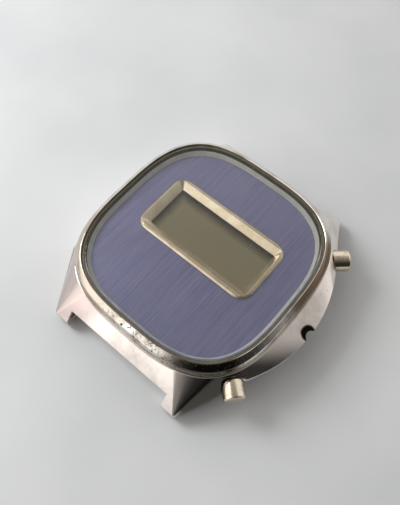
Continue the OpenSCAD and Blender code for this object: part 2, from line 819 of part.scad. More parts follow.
mid_case();
bezel();
crystal();
crystal_gasket();
flange_ring();
dial();
window_frame();
front_polariser();
front_glass();
rear_glass();
rear_reflector();
zebra_connectors();
module_frame();
circuit_board();
chip();
quartz_can();
trimmer_body();
trimmer_rotor();
capacitors();
lamp();
battery();
negative_contact();
battery_bridge();
bridge_screw();
rear_holder();
module_screws();
movement_ring();
switch_pads();
switch_leaf(1);  // upper_switch_leaf
switch_leaf(-1);  // lower_switch_leaf
pusher(1);  // upper_pusher
tube(1);  // upper_tube
spring(1);  // upper_spring
o_ring(1);  // upper_o_ring
clip(1);  // upper_clip
pusher(-1);  // lower_pusher
tube(-1);  // lower_tube
spring(-1);  // lower_spring
o_ring(-1);  // lower_o_ring
clip(-1);  // lower_clip
case_back();
back_gasket();
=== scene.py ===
import math

import bpy
from mathutils import Matrix, Vector


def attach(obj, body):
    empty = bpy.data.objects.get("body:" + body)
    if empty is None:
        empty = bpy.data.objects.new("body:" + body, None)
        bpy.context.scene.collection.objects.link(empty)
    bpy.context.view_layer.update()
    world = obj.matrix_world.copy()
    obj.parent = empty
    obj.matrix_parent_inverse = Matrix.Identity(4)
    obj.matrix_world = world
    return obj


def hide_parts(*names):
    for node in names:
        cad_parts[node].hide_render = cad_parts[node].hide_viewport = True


# Head of a digital watch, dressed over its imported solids. Lengths in the dictionaries are
# millimetres, and mm turns them into Blender's metres. Angles there are degrees, and the
# turns of a noise are radians.
mm = 0.001
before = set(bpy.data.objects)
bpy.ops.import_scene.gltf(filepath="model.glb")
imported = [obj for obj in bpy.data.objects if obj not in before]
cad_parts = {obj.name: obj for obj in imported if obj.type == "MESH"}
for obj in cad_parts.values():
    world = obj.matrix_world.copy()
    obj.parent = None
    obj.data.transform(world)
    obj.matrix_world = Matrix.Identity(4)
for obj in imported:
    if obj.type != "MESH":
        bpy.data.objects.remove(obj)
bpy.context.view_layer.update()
print("solids loaded:", len(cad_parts))

# Sizes that several pieces share
watch = {
    "dialHalf": (14.25, 14.55),  # half width and half height of the dial that shows
    "roundness": 3.1,  # power of the outline's curve, where 2 would be an ellipse
    "windowHalf": (8.6, 3.65),
    "windowAt": (-0.4, 2.1),
    "dialZ": 7.2,
    "crestZ": 9.0,
    "sides": 256,  # of the rings and of the case
    "weld": 0.0005,  # points closer than this are one
    "smooth": 32,  # edges that turn more than this stay sharp
    "body": "watch_head",
}
quarters = ((1, 1), (-1, 1), (-1, -1), (1, -1))  # signs of X and Y in each quarter turn


# Small tools


def deselectAll():
    if bpy.context.object and bpy.context.object.mode != "OBJECT":
        bpy.ops.object.mode_set(mode="OBJECT")
    bpy.ops.object.select_all(action="DESELECT")


def pickOnly(piece):
    deselectAll()
    piece.select_set(True)
    bpy.context.view_layer.objects.active = piece


def onOutline(turn, out, height):
    # point of the rounded square outline, moved outwards by out, where the outline faces turn
    power = watch["roundness"]
    point, size = [], 0
    for half, facing in zip(watch["dialHalf"], (math.cos(turn), math.sin(turn))):
        away = (abs(facing) * (half + out) ** power) ** (1 / (power - 1))
        size += (away / (half + out)) ** power
        point.append(math.copysign(away, facing))
    return Vector((*point, 0)) * size ** (-1 / power) + Vector((0, 0, height))


def onCircle(turn, radius, height):
    return Vector((radius * math.cos(turn), radius * math.sin(turn), height))


def ringGrid(name, rows, sides, place, capped=False):
    # a circle is extruded once for each row, then every row is set on its own outline
    deselectAll()
    bpy.ops.mesh.primitive_circle_add(vertices=sides, radius=1, location=(0, 0, 0))
    piece = bpy.context.object
    piece.name = piece.data.name = name
    bpy.ops.object.mode_set(mode="EDIT")
    for row in range(1, len(rows)):
        bpy.ops.mesh.extrude_edges_move()
        grow = (row + 1) / row
        bpy.ops.transform.resize(value=(grow, grow, grow))
    bpy.ops.object.mode_set(mode="OBJECT")
    for vertex in piece.data.vertices:
        row = round(math.hypot(vertex.co.x, vertex.co.y)) - 1
        turn = math.atan2(vertex.co.y, vertex.co.x) % math.tau
        vertex.co = place(turn, *rows[row]) * mm
    closeUp(piece, capped)
    return piece


def closeUp(piece, capped):
    # joins the points that meet, fills the two ends if it is capped, and faces all outwards
    pickOnly(piece)
    bpy.ops.object.mode_set(mode="EDIT")
    bpy.ops.mesh.select_all(action="SELECT")
    bpy.ops.mesh.remove_doubles(threshold=watch["weld"] * mm)
    if capped:
        bpy.ops.mesh.select_all(action="DESELECT")
        bpy.ops.mesh.select_mode(type="EDGE")
        bpy.ops.mesh.select_non_manifold(extend=False, use_wire=False, use_multi_face=False,
                                         use_non_contiguous=False, use_verts=False)
        bpy.ops.mesh.fill_holes(sides=0)
        bpy.ops.mesh.select_mode(type="VERT")
    bpy.ops.mesh.select_all(action="SELECT")
    bpy.ops.mesh.normals_make_consistent(inside=False)
    bpy.ops.object.mode_set(mode="OBJECT")


def rounded(points, radius, steps=3):
    # the same open section with each inner corner turned into a small arc, which takes no
    # more than this share of the stretches beside it
    most = 0.45
    out = [points[0]]
    for before, corner, after in zip(points, points[1:], points[2:]):
        middle = Vector(corner)
        toBefore, toAfter = Vector(before) - middle, Vector(after) - middle
        cut = min(radius, toBefore.length * most, toAfter.length * most)
        start = middle + toBefore.normalized() * cut
        end = middle + toAfter.normalized() * cut
        for step in range(steps + 1):
            t = step / steps
            out.append(tuple(start * (1 - t) ** 2 + middle * 2 * t * (1 - t) + end * t * t))
    out.append(points[-1])
    return out


def smoothEdges(piece, degrees=watch["smooth"]):
    pickOnly(piece)
    bpy.ops.object.shade_smooth_by_angle(angle=math.radians(degrees), keep_sharp_edges=False)


def copyOf(model, name):
    piece = model.copy()
    piece.data = model.data.copy()
    piece.name = piece.data.name = name
    bpy.context.collection.objects.link(piece)
    return piece


def settle(piece):
    pickOnly(piece)
    bpy.ops.object.transform_apply(location=True, rotation=True, scale=True)


def layAlongX(piece, spot, turn=0):
    # an upright piece at the origin is laid along X, turned round Z, and taken to its spot
    piece.matrix_world = (
        Matrix.Translation(Vector(spot) * mm)
        @ Matrix.Rotation(math.radians(turn), 4, "Z")
        @ Matrix.Rotation(math.radians(90), 4, "Y")
    )
    settle(piece)


def cutAway(piece, tool, operation="DIFFERENCE"):
    pickOnly(piece)
    cut = piece.modifiers.new("cut", "BOOLEAN")
    cut.operation = operation
    cut.solver = "EXACT"
    cut.object = tool
    bpy.ops.object.modifier_apply(modifier="cut")
    bpy.data.objects.remove(tool)


def dress(piece, slotName, body=watch["body"]):
    piece.data.materials.clear()
    piece.data.materials.append(finishes[slotName])
    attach(piece, body)


# Materials


def linear(hexText):
    # sRGB hex to the linear colour that the shaders take
    parts = [int(hexText[i : i + 2], 16) / 255 for i in (1, 3, 5)]
    parts = [p / 12.92 if p <= 0.04045 else ((p + 0.055) / 1.055) ** 2.4 for p in parts]
    return (*parts, 1)


def addNode(tree, kind, inputs=None, out=0, **settings):
    # adds a node with its settings and links, and gives back the output that out names
    node = tree.nodes.new("ShaderNode" + kind)
    for name, value in settings.items():
        setattr(node, name, value)
    for name, value in (inputs or {}).items():
        if isinstance(value, bpy.types.NodeSocket):
            tree.links.new(value, node.inputs[name])
        else:
            node.inputs[name].default_value = value
    return node.outputs[out] if node.outputs else None


def newFinish(name):
    material = bpy.data.materials.new(name)
    material.use_nodes = True
    tree = material.node_tree
    tree.nodes.clear()
    return material, tree, addNode(tree, "TexCoord", out="Object")


everySide = (-2, -1)  # a stain, or a mark of painted shade or reflection, that shows whichever way the surface faces
chromeLook = {
    "metal": "#ece8e3",  # plated brass, a little warm
    "worn": "#d9d4cb",
    "patch": 5.0,  # width of the worn patches
    "wornAt": (0.48, 0.72),  # noise where wear starts and where it is full
    "roughness": (0.1, 0.2),
    "roughAt": (0.35, 0.7),
    "hair": (0.06, 2.2, 2.2),  # width and length of a hair scratch, drawn coarser than real
    "hairTurns": ((0, 0, 0.5), (0, 0.2, -0.9)),
    "hairHeight": 0.6,  # of a hair scratch against a pit
    "pit": "#5a5348",
    "pitSize": 0.4,
    "pitAt": (0.78, 0.82),  # noise where a pit starts and where it is full
    "pitWear": 0.16,  # how much readier pits are in worn patches
    "pitLean": (0, 0, 0),  # and how much readier per metre towards each axis
    "pitRoughness": 0.35,
    "depth": 0.006,
    "strength": 0.8,
    # stains and marks of painted reflection and shade: colour, middle, distances where it is
    # full and where it is gone, and how much
    #  the surface must face 3 o'clock for it to start and to be full
    "stainsAndPaintedLight": (),
    "markFray": 0.3,  # how far wear eats into the edge of a stain or painted mark, as a share of its size
}


def wornChrome(name, ownLook):
    # Polished chrome plate worn by carrying: a mirror with soft duller patches and hair
    #  scratches, small pits that are darker and rougher than the plate round them, stains, and
    #  marks of painted reflection and shade
    look = {**chromeLook, **ownLook}
    material, tree, place = newFinish(name)
    wear = addNode(tree, "TexNoise", {
        "Vector": place, "Scale": 1 / (look["patch"] * mm), "Detail": 4, "Roughness": 0.6})
    worn = addNode(tree, "MapRange", {
        "Value": wear, "From Min": look["wornAt"][0], "From Max": look["wornAt"][1]})
    hairs = []
    for turn in look["hairTurns"]:
        drawn = addNode(tree, "Mapping", {
            "Vector": place, "Rotation": turn,
            "Scale": [1 / (size * mm) for size in look["hair"]]})
        hairs.append(addNode(tree, "TexNoise", {"Vector": drawn, "Scale": 1}))
    specks = addNode(tree, "TexNoise", {
        "Vector": place, "Scale": 1 / (look["pitSize"] * mm), "Detail": 3, "Roughness": 0.65,
        "Distortion": 0.4})
    specks = addNode(tree, "Math", {0: wear, 1: look["pitWear"], 2: specks},
                     operation="MULTIPLY_ADD")
    lean = addNode(tree, "VectorMath", {0: place, 1: look["pitLean"]}, "Value",
                   operation="DOT_PRODUCT")
    specks = addNode(tree, "Math", {0: specks, 1: lean}, operation="ADD")
    inPit = addNode(tree, "MapRange", {
        "Value": specks, "From Min": look["pitAt"][0], "From Max": look["pitAt"][1]})
    colour = addNode(tree, "Mix", {
        0: worn, 6: linear(look["metal"]), 7: linear(look["worn"])}, 2, data_type="RGBA")
    colour = addNode(tree, "Mix", {0: inPit, 6: colour, 7: linear(look["pit"])}, 2,
                     data_type="RGBA")
    # each entry is a real stain or a painted reflection or shade, as its own comment says
    for tint, middle, (full, gone), (least, most) in look["stainsAndPaintedLight"]:
        away = addNode(tree, "VectorMath", {0: place, 1: Vector(middle) * mm}, "Value",
                       operation="DISTANCE")
        away = addNode(tree, "Math", {
            0: wear, 1: -look["markFray"] * full * mm, 2: away}, operation="MULTIPLY_ADD")
        spread = addNode(tree, "MapRange", {
            "Value": away, "From Min": gone * mm, "From Max": full * mm},
            interpolation_type="SMOOTHSTEP")
        normal = addNode(tree, "TexCoord", out="Normal")
        facing = addNode(tree, "SeparateXYZ", {0: normal}, "X")
        facing = addNode(tree, "MapRange", {
            "Value": facing, "From Min": least, "From Max": most})
        stainAndLightShare = addNode(tree, "Math", {0: spread, 1: facing}, operation="MULTIPLY")
        colour = addNode(tree, "Mix", {0: stainAndLightShare, 6: colour, 7: linear(tint)}, 2,
                         data_type="RGBA")
    rough = addNode(tree, "MapRange", {
        "Value": wear, "From Min": look["roughAt"][0], "From Max": look["roughAt"][1],
        "To Min": look["roughness"][0], "To Max": look["roughness"][1]})
    rough = addNode(tree, "Math", {0: inPit, 1: look["pitRoughness"], 2: rough},
                    operation="MULTIPLY_ADD")
    height = addNode(tree, "Math", {0: hairs[0], 1: hairs[1]}, operation="MULTIPLY")
    height = addNode(tree, "Math", {0: height, 1: look["hairHeight"]}, operation="MULTIPLY")
    height = addNode(tree, "Math", {0: height, 1: inPit}, operation="SUBTRACT")
    bump = addNode(tree, "Bump", {
        "Height": height, "Distance": look["depth"] * mm, "Strength": look["strength"]})
    shader = addNode(tree, "BsdfPrincipled", {
        "Base Color": colour, "Metallic": 1, "Roughness": rough, "Normal": bump})
    addNode(tree, "OutputMaterial", {"Surface": shader})
    return material


dialLook = {
    "paint": "#acadd6",
    "deep": "#7273a8",
    "speck": "#c9cce4",
    # brush marks along the line from 12 to 6: width, length and depth, then the noise's
    # detail and roughness
    "marks": {"streak": ((0.22, 11.0, 1.0), 3, 0.7), "fine": ((0.1, 2.4, 1.0), 2, 0.6)},
    "cloud": 7,
    "shares": (0.8, 0.2),  # of the streaks and of the cloud in the paint's tone
    "paintAt": (0.2, 0.86),
    "speckAt": (0.62, 0.8),
    "speckMost": 0.4,
    "roughness": (0.38, 0.55),
    "roughAt": (0.3, 0.7),
    "metallic": 0.45,
    "depth": 0.01,
    "strength": 0.4,
}


def brushedDial():
    # Brass dial, brushed from 12 to 6 and lacquered violet blue: long streaks and fine flecks
    look = dialLook
    material, tree, place = newFinish("violet lacquer on brushed brass")
    marks = {}
    for mark, (sizes, detail, roughness) in look["marks"].items():
        drawn = addNode(tree, "Mapping", {
            "Vector": place, "Scale": [1 / (size * mm) for size in sizes]})
        marks[mark] = addNode(tree, "TexNoise", {
            "Vector": drawn, "Scale": 1, "Detail": detail, "Roughness": roughness})
    cloud = addNode(tree, "TexNoise", {"Vector": place, "Scale": 1 / (look["cloud"] * mm)})
    cloud = addNode(tree, "Math", {0: cloud, 1: look["shares"][1]}, operation="MULTIPLY")
    tone = addNode(tree, "Math", {0: marks["streak"], 1: look["shares"][0], 2: cloud},
                   operation="MULTIPLY_ADD")
    tone = addNode(tree, "MapRange", {
        "Value": tone, "From Min": look["paintAt"][0], "From Max": look["paintAt"][1]})
    colour = addNode(tree, "Mix", {
        0: tone, 6: linear(look["deep"]), 7: linear(look["paint"])}, 2, data_type="RGBA")
    fleck = addNode(tree, "MapRange", {
        "Value": marks["fine"], "From Min": look["speckAt"][0], "From Max": look["speckAt"][1],
        "To Max": look["speckMost"]})
    colour = addNode(tree, "Mix", {0: fleck, 6: colour, 7: linear(look["speck"])}, 2,
                     data_type="RGBA")
    rough = addNode(tree, "MapRange", {
        "Value": marks["streak"], "From Min": look["roughAt"][0],
        "From Max": look["roughAt"][1], "To Min": look["roughness"][0],
        "To Max": look["roughness"][1]})
    height = addNode(tree, "Math", {0: marks["streak"], 1: marks["fine"]}, operation="ADD")
    bump = addNode(tree, "Bump", {
        "Height": height, "Distance": look["depth"] * mm, "Strength": look["strength"]})
    shader = addNode(tree, "BsdfPrincipled", {
        "Base Color": colour, "Metallic": look["metallic"], "Roughness": rough, "Normal": bump})
    addNode(tree, "OutputMaterial", {"Surface": shader})
    return material


frameLook = {
    "metal": "#f1e5d1",
    "dull": "#e3d4b8",
    "edge": "#4d4436",
    "grain": 0.12,
    "cloud": 2.5,
    "dullAt": (0.35, 0.65),
    "edgeZ": (7.26, 7.4),  # painted shade: the outer edge is dark below the first height
    "edgeOut": 1.5,  # and further than this past the opening
    "edgeFade": 0.05,
    "roughness": (0.1, 0.18),
    "roughAt": (0.3, 0.7),
    "metallic": 0.8,
    "depth": 0.002,
    "strength": 0.5,
}


def champagnePlate():
    # Stamped brass plated a pale champagne gold: satin, with painted shade down its outer edge
    # where it stands on the dial
    look = frameLook
    material, tree, place = newFinish("champagne plate on stamped brass")
    grain = addNode(tree, "TexNoise", {"Vector": place, "Scale": 1 / (look["grain"] * mm)})
    cloud = addNode(tree, "TexNoise", {"Vector": place, "Scale": 1 / (look["cloud"] * mm)})
    tone = addNode(tree, "MapRange", {
        "Value": cloud, "From Min": look["dullAt"][0], "From Max": look["dullAt"][1]})
    colour = addNode(tree, "Mix", {
        0: tone, 6: linear(look["metal"]), 7: linear(look["dull"])}, 2, data_type="RGBA")
    past = []
    for axis, middle, half in zip("XY", watch["windowAt"], watch["windowHalf"]):
        along = addNode(tree, "SeparateXYZ", {0: place}, axis)
        away = addNode(tree, "Math", {0: along, 1: middle * mm}, operation="SUBTRACT")
        away = addNode(tree, "Math", {0: away}, operation="ABSOLUTE")
        past.append(addNode(tree, "Math", {0: away, 1: (half + look["edgeOut"]) * mm},
                            operation="SUBTRACT"))
    outside = addNode(tree, "Math", {0: past[0], 1: past[1]}, operation="MAXIMUM")
    outside = addNode(tree, "MapRange", {
        "Value": outside, "From Min": 0, "From Max": look["edgeFade"] * mm})
    height = addNode(tree, "SeparateXYZ", {0: place}, "Z")
    low = addNode(tree, "MapRange", {
        "Value": height, "From Min": look["edgeZ"][0] * mm, "From Max": look["edgeZ"][1] * mm,
        "To Min": 1, "To Max": 0})
    # painted shade at the foot of the outer edge, where the frame meets the dial
    edge = addNode(tree, "Math", {0: low, 1: outside}, operation="MULTIPLY")
    colour = addNode(tree, "Mix", {0: edge, 6: colour, 7: linear(look["edge"])}, 2,
                     data_type="RGBA")
    rough = addNode(tree, "MapRange", {
        "Value": grain, "From Min": look["roughAt"][0], "From Max": look["roughAt"][1],
        "To Min": look["roughness"][0], "To Max": look["roughness"][1]})
    bump = addNode(tree, "Bump", {
        "Height": grain, "Distance": look["depth"] * mm, "Strength": look["strength"]})
    shader = addNode(tree, "BsdfPrincipled", {
        "Base Color": colour, "Metallic": look["metallic"], "Roughness": rough, "Normal": bump})
    addNode(tree, "OutputMaterial", {"Surface": shader})
    return material


displayLook = {
    "film": "#9d9379",
    "shade": "#2f2c24",
    "smudge": "#b3af9c",
    "cloud": (4, 2.5, 2),
    "rim": (0.5, 2.0),  # the painted shadow along the left and top edges fades between these distances
    "rimWander": 0.5,
    "wipe": (0.25, 2.2, 1),
    "wipeTurn": (0, 0, 0.9),
    "smudgeAt": (0.62, 0.8),
    "smudgeMost": 0.5,
    "roughness": (0.28, 0.42),
    "roughAt": (0.3, 0.7),
    "shine": 0.3,
}


def polariserFilm():
    # Blank display seen through its polariser: olive grey, with a painted shadow of the frame
    # along the window's left and top edges
    look = displayLook
    material, tree, place = newFinish("olive polariser film")
    drawn = addNode(tree, "Mapping", {
        "Vector": place, "Scale": [1 / (size * mm) for size in look["cloud"]]})
    cloud = addNode(tree, "TexNoise", {
        "Vector": drawn, "Scale": 1, "Detail": 3, "Roughness": 0.6})
    # painted shadow of the frame: darker near the window's left and top edges, by distance from
    # them
    across = addNode(tree, "SeparateXYZ", {0: place}, "X")
    across = addNode(tree, "Math", {
        0: across, 1: (watch["windowAt"][0] - watch["windowHalf"][0]) * mm},
        operation="SUBTRACT")
    down = addNode(tree, "SeparateXYZ", {0: place}, "Y")
    down = addNode(tree, "Math", {
        0: (watch["windowAt"][1] + watch["windowHalf"][1]) * mm, 1: down},
        operation="SUBTRACT")
    inside = addNode(tree, "Math", {0: across, 1: down}, operation="MINIMUM")
    inside = addNode(tree, "Math", {0: cloud, 1: look["rimWander"] * mm, 2: inside},
                     operation="MULTIPLY_ADD")
    rim = addNode(tree, "MapRange", {
        "Value": inside, "From Min": look["rim"][0] * mm, "From Max": look["rim"][1] * mm,
        "To Min": 1, "To Max": 0})
    drawn = addNode(tree, "Mapping", {
        "Vector": place, "Rotation": look["wipeTurn"],
        "Scale": [1 / (size * mm) for size in look["wipe"]]})
    smudge = addNode(tree, "TexNoise", {
        "Vector": drawn, "Scale": 1, "Detail": 3, "Roughness": 0.7})
    smudge = addNode(tree, "MapRange", {
        "Value": smudge, "From Min": look["smudgeAt"][0], "From Max": look["smudgeAt"][1],
        "To Max": look["smudgeMost"]})
    colour = addNode(tree, "Mix", {
        0: rim, 6: linear(look["film"]), 7: linear(look["shade"])}, 2, data_type="RGBA")
    colour = addNode(tree, "Mix", {0: smudge, 6: colour, 7: linear(look["smudge"])}, 2,
                     data_type="RGBA")
    rough = addNode(tree, "MapRange", {
        "Value": cloud, "From Min": look["roughAt"][0], "From Max": look["roughAt"][1],
        "To Min": look["roughness"][0], "To Max": look["roughness"][1]})
    shader = addNode(tree, "BsdfPrincipled", {
        "Base Color": colour, "Roughness": rough, "Specular IOR Level": look["shine"]})
    addNode(tree, "OutputMaterial", {"Surface": shader})
    return material


glassLook = {
    "tint": "#f4f5f2",
    "ior": 1.52,
    "wipe": (0.9, 5, 2),
    "wipeTurn": (0, 0, 0.7),
    "roughness": (0.0, 0.05),
    "roughAt": (0.45, 0.75),
}


def mineralGlass():
    # Flat mineral glass, clear and slightly grey, with faint wipe marks
    look = glassLook
    material, tree, place = newFinish("mineral glass")
    drawn = addNode(tree, "Mapping", {
        "Vector": place, "Rotation": look["wipeTurn"],
        "Scale": [1 / (size * mm) for size in look["wipe"]]})
    smear = addNode(tree, "TexNoise", {
        "Vector": drawn, "Scale": 1, "Detail": 3, "Roughness": 0.6})
    rough = addNode(tree, "MapRange", {
        "Value": smear, "From Min": look["roughAt"][0], "From Max": look["roughAt"][1],
        "To Min": look["roughness"][0], "To Max": look["roughness"][1]})
    shader = addNode(tree, "BsdfPrincipled", {
        "Base Color": linear(look["tint"]), "Roughness": rough, "IOR": look["ior"],
        "Transmission Weight": 1})
    addNode(tree, "OutputMaterial", {"Surface": shader})
    return material


softLook = {
    "depth": 0.01,
    "metallic": 0,
    "streak": (1, 1, 1),  # how many grains long a grain is drawn along each axis
    "cloud": 9,  # width of the clouds, in grains
    "shares": (0.6, 0.4),  # of the grains and of the clouds in the tone
    "toneAt": (0.38, 0.62),
    "roughAt": (0.3, 0.7),
    "strength": 0.6,
}


def softFinish(ownLook):
    # Moulded, rolled and fired finishes: two near tones that change from grain to grain and
    # in soft clouds, and a gloss that changes with the grain
    look = {**softLook, **ownLook}
    material, tree, place = newFinish(look["name"])
    drawn = addNode(tree, "Mapping", {
        "Vector": place, "Scale": [1 / (look["grain"] * long * mm) for long in look["streak"]]})
    grain = addNode(tree, "TexNoise", {
        "Vector": drawn, "Scale": 1, "Detail": 3, "Roughness": 0.6})
    cloud = addNode(tree, "TexNoise", {
        "Vector": place, "Scale": 1 / (look["grain"] * look["cloud"] * mm)})
    cloud = addNode(tree, "Math", {0: cloud, 1: look["shares"][1]}, operation="MULTIPLY")
    tone = addNode(tree, "Math", {0: grain, 1: look["shares"][0], 2: cloud},
                   operation="MULTIPLY_ADD")
    tone = addNode(tree, "MapRange", {
        "Value": tone, "From Min": look["toneAt"][0], "From Max": look["toneAt"][1]})
    first, second = [linear(colour) for colour in look["tones"]]
    colour = addNode(tree, "Mix", {0: tone, 6: first, 7: second}, 2, data_type="RGBA")
    rough = addNode(tree, "MapRange", {
        "Value": grain, "From Min": look["roughAt"][0], "From Max": look["roughAt"][1],
        "To Min": look["roughness"][0], "To Max": look["roughness"][1]})
    bump = addNode(tree, "Bump", {
        "Height": grain, "Distance": look["depth"] * mm, "Strength": look["strength"]})
    shader = addNode(tree, "BsdfPrincipled", {
        "Base Color": colour, "Metallic": look["metallic"], "Roughness": rough, "Normal": bump})
    addNode(tree, "OutputMaterial", {"Surface": shader})
    return material


# The softer finishes: two tones, roughness from smooth to rough, width and relief of a grain
softFinishes = {
    # silvered sheet with a satin face: bright and even, with no clear reflection
    "flange_steel": {
        "name": "satin silvered flange", "tones": ("#f6f5ee", "#dddcd2"),
        "roughness": (0.4, 0.55), "grain": 0.15, "depth": 0.006},
    # moulded nylon gone olive with age: a dull line round the dial
    "nylon_gasket": {
        "name": "olive nylon gasket", "tones": ("#6a6552", "#504c3b"),
        "roughness": (0.4, 0.6), "grain": 0.25},
    # stainless steel brushed from 9 to 3 o'clock: fine long streaks of grey
    "back_steel": {
        "name": "brushed stainless case back", "tones": ("#b8b6b0", "#96948e"),
        "roughness": (0.25, 0.42), "grain": 0.08, "depth": 0.006, "metallic": 1,
        "streak": (30, 1, 1)},
    # cut edge of display glass: pale, greenish and glossy
    "display_glass": {
        "name": "display glass edge", "tones": ("#b9c4bd", "#9aa79f"),
        "roughness": (0.1, 0.2), "grain": 0.5, "depth": 0.002},
    # aluminised foil: silver grey, soft reflections
    "reflector_foil": {
        "name": "aluminised reflector foil", "tones": ("#b5b4ab", "#9c9b93"),
        "roughness": (0.3, 0.4), "grain": 0.1, "depth": 0.004, "metallic": 0.8},
    # layered rubber: thin black and cream bands across its length
    "zebra_rubber": {
        "name": "banded zebra rubber", "tones": ("#d9d3c8", "#3a3836"),
        "roughness": (0.5, 0.7), "grain": 0.1, "depth": 0.006, "streak": (1, 30, 30)},
    # moulded polycarbonate: cream and satin
    "frame_plastic": {
        "name": "moulded polycarbonate frame", "tones": ("#d8d2c0", "#c6bfab"),
        "roughness": (0.4, 0.55), "grain": 0.2},
    # glass cloth in epoxy: deep green with a faint weave
    "board_green": {
        "name": "glass epoxy board", "tones": ("#2f5a3a", "#244a30"),
        "roughness": (0.3, 0.45), "grain": 0.12, "depth": 0.008, "streak": (4, 1, 1)},
    # poured resin: black, glossy and a little uneven
    "chip_resin": {
        "name": "black potting resin", "tones": ("#1d1c1b", "#2b2927"),
        "roughness": (0.25, 0.4), "grain": 0.4, "depth": 0.02},
    # drawn and tinned steel: silver with marks along its length
    "can_steel": {
        "name": "drawn tin-plated can", "tones": ("#c3c6c8", "#a4a8aa"),
        "roughness": (0.2, 0.35), "grain": 0.1, "depth": 0.005, "metallic": 1,
        "streak": (20, 1, 1)},
    # fired ceramic: tan and matt
    "trimmer_ceramic": {
        "name": "trimmer ceramic", "tones": ("#c9ad84", "#b3966d"),
        "roughness": (0.4, 0.6), "grain": 0.08, "depth": 0.006},
    # rolled spring brass with a gold flash: yellow, bright along the rolling
    "contact_gold": {
        "name": "gold-flashed spring contact", "tones": ("#d8b565", "#bf9c50"),
        "roughness": (0.22, 0.36), "grain": 0.1, "depth": 0.004, "metallic": 1,
        "streak": (12, 1, 1)},
    # fired ceramic: brown and matt
    "capacitor_ceramic": {
        "name": "fired capacitor ceramic", "tones": ("#a5835c", "#8c6d4a"),
        "roughness": (0.4, 0.6), "grain": 0.08, "depth": 0.006},
    # frosted glass: warm white and half glossy
    "lamp_glass": {
        "name": "frosted lamp glass", "tones": ("#f1ecd6", "#ddd7c0"),
        "roughness": (0.15, 0.3), "grain": 0.2, "depth": 0.003},
    # nickel plate: bright silver, lightly handled
    "battery_steel": {
        "name": "nickelled battery can", "tones": ("#c8c8c4", "#aeaeaa"),
        "roughness": (0.18, 0.32), "grain": 0.12, "depth": 0.004, "metallic": 1},
    # turned steel: cool grey with fine tool marks
    "screw_steel": {
        "name": "turned steel screw", "tones": ("#b4b6b8", "#909295"),
        "roughness": (0.2, 0.35), "grain": 0.06, "depth": 0.005, "metallic": 1},
    # moulded acetal: black and satin
    "holder_plastic": {
        "name": "moulded black acetal holder", "tones": ("#3b3a38", "#2c2b2a"),
        "roughness": (0.4, 0.55), "grain": 0.18},
    # moulded nylon: off-white and satin
    "ring_nylon": {
        "name": "moulded nylon ring", "tones": ("#e4e0d3", "#d2cdbe"),
        "roughness": (0.4, 0.55), "grain": 0.2},
    # turned steel: a darker grey than the screws
    "tube_steel": {
        "name": "turned steel tube", "tones": ("#a9abac", "#8b8d8e"),
        "roughness": (0.25, 0.4), "grain": 0.06, "depth": 0.005, "metallic": 1},
    # drawn wire: bluish grey and bright
    "spring_steel": {
        "name": "drawn spring wire", "tones": ("#b2b6ba", "#8f9398"),
        "roughness": (0.2, 0.34), "grain": 0.05, "depth": 0.004, "metallic": 1},
    # nitrile rubber: black and matt
    "black_rubber": {
        "name": "black nitrile rubber", "tones": ("#1c1b1a", "#2a2927"),
        "roughness": (0.55, 0.75), "grain": 0.1},
}
finishes = {slotName: softFinish(look) for slotName, look in softFinishes.items()}
finishes["case_chrome"] = wornChrome("worn polished chrome plate", {
    "metal": "#f6efe9",
    "stainsAndPaintedLight": (
        ("#54524b", (13.8, -15.4, 4.2), (3.6, 5.6), (0.3, 0.5)),  # painted dark reflection on the flank of the 4 o'clock lug
        ("#d2c5c0", (-12, -15, 6), (5, 8), everySide),  # pinkish plate by the 8 o'clock lug
        ("#1a1610", (18.4, 0, 4.1), (1.55, 1.75), everySide),  # painted shade in the recess
    ),
})
finishes["bezel_chrome"] = wornChrome("worn polished chrome bezel", {
    "worn": "#b5ac9c",
    "patch": 2.5,
    "roughness": (0.06, 0.16),
    "pit": "#4a443a",
    "pitSize": 0.36,
    "pitAt": (0.77, 0.8),
    "pitLean": (2, -6, 0),
    "depth": 0.004,
    "stainsAndPaintedLight": (
        ("#7f6e5a", (18.5, 7, 8), (5, 9), (-0.1, 0.2)),  # painted brown reflection on the flank by 3 o'clock
        ("#ccc2b4", (-12, -14, 8), (6, 10), everySide),  # darker cream tint at 7 o'clock
        ("#5a554d", (12.5, -14.5, 8), (3, 6), everySide),  # painted dark reflection at the 5 o'clock corner
    ),
})
finishes["pusher_chrome"] = wornChrome("worn turned chrome pusher", {
    "metal": "#e4dac6",
    "worn": "#b9ab8c",
    "patch": 1.5,
    "pitSize": 0.3,
    "pitAt": (0.74, 0.78),
})
finishes["dial_blue"] = brushedDial()
finishes["frame_champagne"] = champagnePlate()
finishes["polariser_film"] = polariserFilm()
finishes["crystal_glass"] = mineralGlass()
print("finishes made:", len(finishes))

# The solids come with materials named after their slots
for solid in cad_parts.values():
    for holder in solid.material_slots:
        holder.material = finishes[holder.material.name]

# Bezel. Sections of the rings are pairs: distance past the dial's outline, and height. A
# closed section starts and ends at its seam.
bezel = {
    "sides": 320,
    "seam": 1.5,
    "innerOut": 1.08,
    "footOut": 2.08,
    "footZ": 6.6,
    "shoulder": (1.98, 8.22),  # the flank stands up to here, then leans over to the brow
    "bendZ": 7.75,
    "brow": (1.4, 8.82),
    "crestOut": 1.18,
    "crestDrop": 0.08,  # from the crest to the inner edge
    "softEdge": 0.14,
    "softSteps": 4,
}
bezelRows = rounded([
    (bezel["seam"], bezel["footZ"]),
    (bezel["footOut"], bezel["footZ"]),
    (bezel["footOut"], bezel["bendZ"]),
    bezel["shoulder"],
    bezel["brow"],
    (bezel["crestOut"], watch["crestZ"]),
    (bezel["innerOut"], watch["crestZ"] - bezel["crestDrop"]),
    (bezel["innerOut"], bezel["footZ"]),
    (bezel["seam"], bezel["footZ"]),
], bezel["softEdge"], bezel["softSteps"])
bezelPiece = ringGrid("bezelShell", bezelRows, bezel["sides"], onOutline)
smoothEdges(bezelPiece)
dress(bezelPiece, "bezel_chrome")
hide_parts("bezel")

